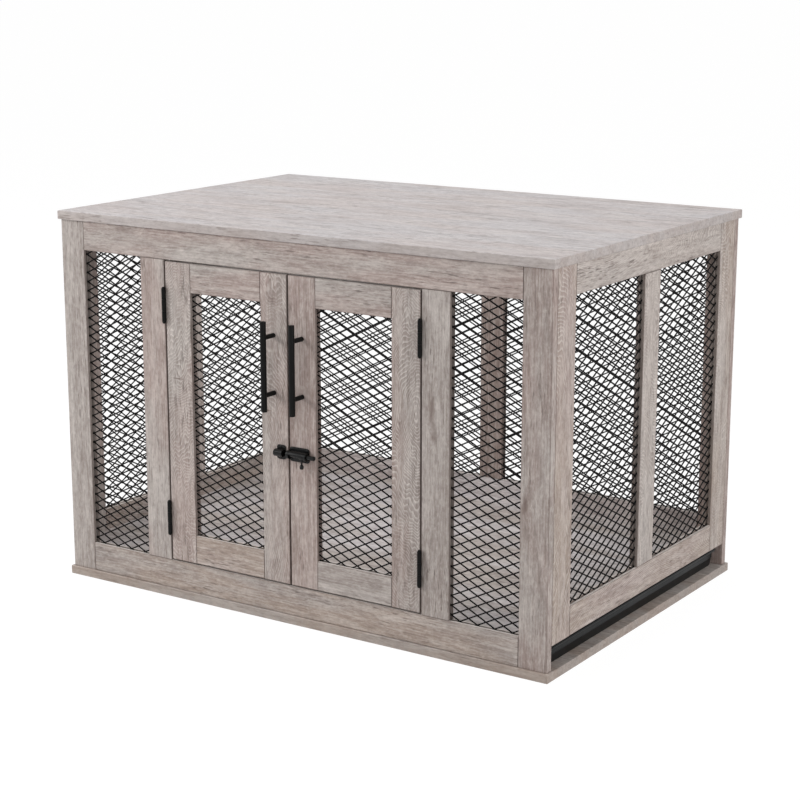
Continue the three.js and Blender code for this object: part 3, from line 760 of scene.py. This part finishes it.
# A leaf's plate, with tabs that reach its knuckles, beside the gap on the side given.
def leafGrids(axisAt, side, length, tabs, look):
    x = axisAt[0] + side * (look["leafGap"] + look["leafThickness"]) / 2
    start = look["knuckleRadius"] + look["knuckleGap"]
    middleY = axisAt[1] + start + look["leafDepth"] / 2
    thick, ease, gap = look["leafThickness"], look["leafEase"], look["tabGap"]
    centre = (x, middleY, axisAt[2])
    grids = [plateGrid(look["leafDepth"] / 2, length / 2, look["leafCorner"], thick, ease, centre, (1, 2, 0))]
    depth = start + look["tabLap"] - look["tabStart"]
    for low, high in tabs:
        centre = (x, axisAt[1] + look["tabStart"] + depth / 2, axisAt[2] + (low + high) / 2)
        grids.append(plateGrid(depth / 2, (high - low) / 2 - gap, gap, thick, ease, centre, (1, 2, 0), 16))
    screws = []
    for share in look["screwPlaces"]:
        aside = look["screwAside"] if share else -look["screwAside"]
        at = (x - side * thick / 2, middleY + aside, axisAt[2] + share * length)
        screws.append(screwGrid(look["screwRadius"], look["screwDome"], at, 0, -side, share * 5))
    return grids, screws


# The frame's leaf with the end knuckles, finials and pin, and the door's leaf with the middle knuckle.
def addHinge(side, level, look):
    stem = side + "_" + level + "_hinge_"
    low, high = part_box(stem + "frame_leaf")
    leafLow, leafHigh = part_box(stem + "door_leaf")
    length = leafHigh.z - leafLow.z
    axisAt = np.array([(low.x + high.x) / 2, low.y + look["knuckleRadius"], (leafLow.z + leafHigh.z) / 2])
    half = length / 2
    inner = half - look["endKnuckle"]
    outwards = 1 if side == "right" else -1

    grids, screws = leafGrids(axisAt, outwards, length, [(-half, -inner), (inner, half)], look)
    for end in (-1, 1):
        knuckle = np.array(knuckleProfile(inner, half, look, look["pinRadius"]))
        cap = finialProfile(look) + (0, half)
        profile = np.concatenate([knuckle[:-1], cap])
        profile[:, 1] *= end
        grids.append(turned(profile, axisAt, 2, 28))
    pin = look["pinRadius"]
    grids.append(turned([(0, -inner), (pin, -inner), (pin, inner), (0, inner)], axisAt, 2, 20))
    title = side + level.capitalize()
    leaf = makePiece(title + "FrameLeaf", grids, finishes["hardwareCoat"])
    settle(leaf, "frame", "hardware", stem + "frame_leaf")
    settle(makePiece(title + "FrameScrews", screws, finishes["screwSteel"]), "frame", "hardware")

    low, high = -inner + look["knuckleGap"], inner - look["knuckleGap"]
    grids, screws = leafGrids(axisAt, -outwards, length, [(low, high)], look)
    grids.append(tube(knuckleProfile(low, high, look, pin + look["knuckleGap"]), axisAt, 2, 28))
    door = side + "_door"
    leaf = makePiece(title + "DoorLeaf", grids, finishes["hardwareCoat"])
    settle(leaf, door, "hardware", stem + "door_leaf")
    settle(makePiece(title + "DoorScrews", screws, finishes["screwSteel"]), door, "hardware")


for side in ("left", "right"):
    for level in ("lower", "upper"):
        addHinge(side, level, hinge)
print("hinges: 4")

# --- Slide bolt ---
latch = {
    "plateThickness": 0.0015,
    "plateCorner": 0.0045,
    "plateEase": 0.0003,
    "bodyStrap": 0.005,
    "stapleInset": 0.0005,
    "wall": 0.0014,
    "guideBore": 0.0041,
    "hoodBore": 0.00555,
    "keeperBore": 0.00455,
    "hoodEdge": 12,  # degrees above the bolt's axis
    "screwRadius": 0.0022,
    "screwDome": 0.0008,
    "screwAcross": 0.38,  # share of the plate's width, and of its height below
    "screwUp": 0.385,
    "rodEase": 0.0011,
    "collarRadius": 0.0052,
    "collarLength": 0.008,
    "collarEase": 0.0003,
    "neckRadius": 0.0017,
    "neckStart": 0.0006,
    "knobRadius": 0.0035,
    "knobLength": 0.008,
}


# A path in the y-z plane from the plate up, round the bolt's axis and, for a full arch, back down.
def archPath(boltY, boltZ, radius, footY, lowEdge, steps=24):
    turn = np.radians(np.linspace(90, lowEdge, steps))
    arc = np.stack([boltY + radius * np.cos(turn), boltZ + radius * np.sin(turn)], axis=1)
    path = [[(footY, boltZ + radius)], arc]
    if lowEdge >= 270:
        path.append([(footY, boltZ - radius)])
    return np.concatenate(path)


# Plates with bent straps and screws on both doors, the hood on the right one, and the rod and knob that move.
def addLatch(look):
    boltLow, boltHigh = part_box("latch_bolt")
    boltY, boltZ = (boltLow.y + boltHigh.y) / 2, (boltLow.z + boltHigh.z) / 2
    thick, corner, plateEase = look["plateThickness"], look["plateCorner"], look["plateEase"]

    for node, body, ends in (("latch_body", "right_door", (-1, 1)), ("latch_keeper", "left_door", (0,))):
        low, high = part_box(node)
        centre = ((low.x + high.x) / 2, high.y - thick / 2, (low.z + high.z) / 2)
        halfWidth, halfHeight = (high.x - low.x) / 2, (high.z - low.z) / 2
        grids = [plateGrid(halfWidth, halfHeight, corner, thick, plateEase, centre, (0, 2, 1))]
        isBody = node == "latch_body"
        strap = look["bodyStrap"] if isBody else 2 * (halfWidth - look["stapleInset"])
        bore = look["hoodBore"] if isBody else look["keeperBore"]
        arch = archPath(boltY, boltZ, bore + look["wall"] / 2, centre[1], 270)
        for end in ends:
            x = centre[0] + end * (halfWidth - strap / 2)
            grids.append(bentGrid(arch, strap, look["wall"], x))
            if isBody:
                guide, reach = look["guideBore"], strap / 2
                ring = [(guide, -reach), (bore, -reach), (bore, reach), (guide, reach)]
                grids.append(tube(ring, (x, boltY, boltZ), 0, 40))
        if isBody:
            over = archPath(boltY, boltZ, bore + look["wall"] / 2, centre[1], 180 - look["hoodEdge"])
            grids.append(bentGrid(over, 2 * halfWidth - strap, look["wall"], centre[0]))
        title = node.replace("latch_", "bolt")
        settle(makePiece(title + "Plate", grids, finishes["latchCoat"]), body, "hardware", node)
        screws = []
        for across in (-look["screwAcross"], look["screwAcross"]) if isBody else (0,):
            for up in (-look["screwUp"], look["screwUp"]):
                at = (centre[0] + across * 2 * halfWidth, high.y - thick, centre[2] + up * 2 * halfHeight)
                screws.append(screwGrid(look["screwRadius"], look["screwDome"], at, 1, -1, across * 3 + up))
        settle(makePiece(title + "Screws", screws, finishes["screwSteel"]), body, "hardware")

    rod = rodProfile((boltHigh.y - boltLow.y) / 2, boltHigh.x - boltLow.x, look["rodEase"], 5)
    grids = [turned(rod, (boltLow.x, boltY, boltZ), 0, 40)]
    settle(makePiece("boltRod", grids, finishes["latchCoat"]), "latch_bolt", "hardware", "latch_bolt")

    low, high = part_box("latch_knob")
    x = (low.x + high.x) / 2
    half, ease = look["collarLength"] / 2, look["collarEase"]
    ring, bore = look["collarRadius"], look["guideBore"]
    outside = [(ring - ease, -half), (ring, -half + ease), (ring, half - ease), (ring - ease, half)]
    grids = [tube([(bore, -half), *outside, (bore, half)], (x, boltY, boltZ), 0, 40)]
    neckRadius, neckLength = look["neckRadius"], boltZ - low.z - ring
    neck = [(0, 0), (neckRadius, 0), (neckRadius, neckLength), (0, neckLength)]
    grids.append(turned(neck, (x, boltY, low.z + look["neckStart"]), 2, 20))
    # The knob's radius is the root of 1 less a power of how far the height is from its middle.
    share = np.linspace(0, 1, 13)
    barrel = look["knobRadius"] * np.sqrt(np.clip(1 - np.abs(2 * share - 1) ** 3.2, 0, 1))
    grids.append(turned(np.stack([barrel, share * look["knobLength"]], axis=1), (x, boltY, low.z), 2, 32))
    settle(makePiece("boltKnob", grids, finishes["latchCoat"]), "latch_knob", "hardware", "latch_knob")


addLatch(latch)
print("slide bolt: plates, rod and knob")

# --- Tray ---
tray = {
    "wall": 0.002,
    "rim": 0.006,
    "rimDepth": 0.007,
    "draft": 0.004,
    "corner": 0.018,
    "rimSteps": 12,
    "ribDepth": 0.0012,
    "sharpestCorner": 0.002,
    "around": 64,
}


# The tray's wall as a profile of (inset, height), carried round a rounded rectangle: up the outside past
# a rib, over the rolled rim, which is half a circle, and down the inside. A point in the middle closes
# each end.
def addTray(look):
    low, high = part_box("tray")
    halfX, halfY, tall = (high.x - low.x) / 2, (high.y - low.y) / 2, high.z - low.z
    rim, depth, draft, wall = look["rim"], look["rimDepth"], look["draft"], look["wall"]
    turn = np.linspace(0, np.pi, look["rimSteps"])
    roll = depth / 2.4
    rolled = np.stack([roll - roll * np.sin(turn), tall - roll - roll * np.cos(turn)], axis=1)
    outer = [
        (rim + draft + 0.004, 0), (rim + draft + 0.001, 0.0006), (rim + draft * 0.95, 0.0025),
        (rim + draft * 0.42, tall * 0.45), (rim + draft * 0.42 - look["ribDepth"], tall * 0.5),
        (rim + draft * 0.2, tall * 0.56), (rim, tall - depth), (rim - 0.0006, tall - depth + 0.0004),
    ]
    inner = [
        (rim + wall - 0.0006, tall), (rim + wall, tall - 0.0008), (rim + draft * 0.9 + wall, wall + 0.003),
        (rim + draft + wall + 0.0025, wall),
    ]
    profile = np.concatenate([outer, rolled, inner])
    points = np.zeros((len(profile) + 2, look["around"], 3))
    for row, (inset, height) in enumerate(profile):
        corner = max(look["corner"] - inset, look["sharpestCorner"])
        points[row + 1, :, :2] = roundedLoop(halfX - inset, halfY - inset, corner, look["around"])
        points[row + 1, :, 2] = height
    points[0, :, 2] = profile[0, 1]
    points[-1, :, 2] = profile[-1, 1]
    centre = ((low.x + high.x) / 2, (low.y + high.y) / 2, low.z)
    piece = makePiece("trayPan", [(points + np.array(centre), False, True)], finishes["trayPlastic"], 30)
    settle(piece, "tray", "tray", "tray")


addTray(tray)
print("tray: 1 pan")
